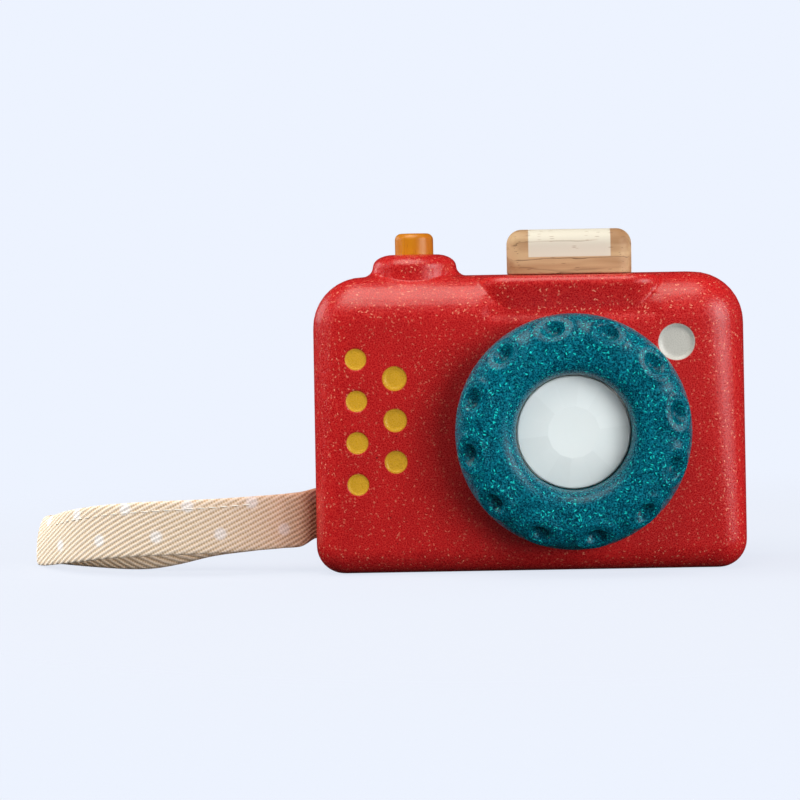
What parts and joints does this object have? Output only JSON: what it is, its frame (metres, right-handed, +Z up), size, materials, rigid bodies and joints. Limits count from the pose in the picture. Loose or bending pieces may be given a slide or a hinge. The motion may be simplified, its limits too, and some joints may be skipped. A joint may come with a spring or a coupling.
{
  "type": "toy camera",
  "caption": "Moulded wood-fibre toy camera with a dimpled turning lens ring, clear faceted lens, sprung shutter button, wooden finder block and a looped cotton wrist strap.",
  "frame": {"origin": "on the flat base, under the middle of the body's width and depth", "axes": "+Z up from the base, the lens looks towards -Y, +X to the right as the pictured side is seen"},
  "size_m": [0.2017, 0.0537, 0.0935],
  "materials": {
    "red_fibre": "satin",
    "teal_fibre": "satin",
    "clear_acrylic": "polished",
    "ivory_plastic": "matte",
    "plain_wood": "sanded",
    "yellow_wood": "stained, satin",
    "fibre_board": "plain",
    "steel": "plain",
    "cotton_tape": "twill"
  },
  "bodies": {
    "camera_body": {"front_shell": "red_fibre", "rear_cover": "red_fibre", "cover_pegs": "plain_wood", "glide_washer": "fibre_board", "button_spring": "steel", "spring_plug": "plain_wood", "finder_block": "plain_wood", "block_dowels": "plain_wood", "wrist_strap": "cotton_tape", "strap_bar": "plain_wood"},
    "lens_group": {"lens_ring": "teal_fibre", "faceted_lens": "clear_acrylic", "lens_sleeve": "ivory_plastic", "sleeve_collar": "plain_wood"},
    "shutter": {"shutter_button": "yellow_wood", "button_washer": "steel", "washer_screw": "steel"}
  },
  "joints": [
    {"name": "lens_turn", "type": "hinge", "parent": "camera_body", "child": "lens_group", "pos_m": [0.0116, -0.018, 0.039], "axis": [0, -1, 0], "continuous": true},
    {"name": "shutter_press", "type": "slide", "parent": "camera_body", "child": "shutter", "axis": [0, 0, -1], "range_m": [0, 0.004], "stiffness_N_per_m": 300, "springref_m": -0.003, "deforming": ["button_spring"]}
  ]
}
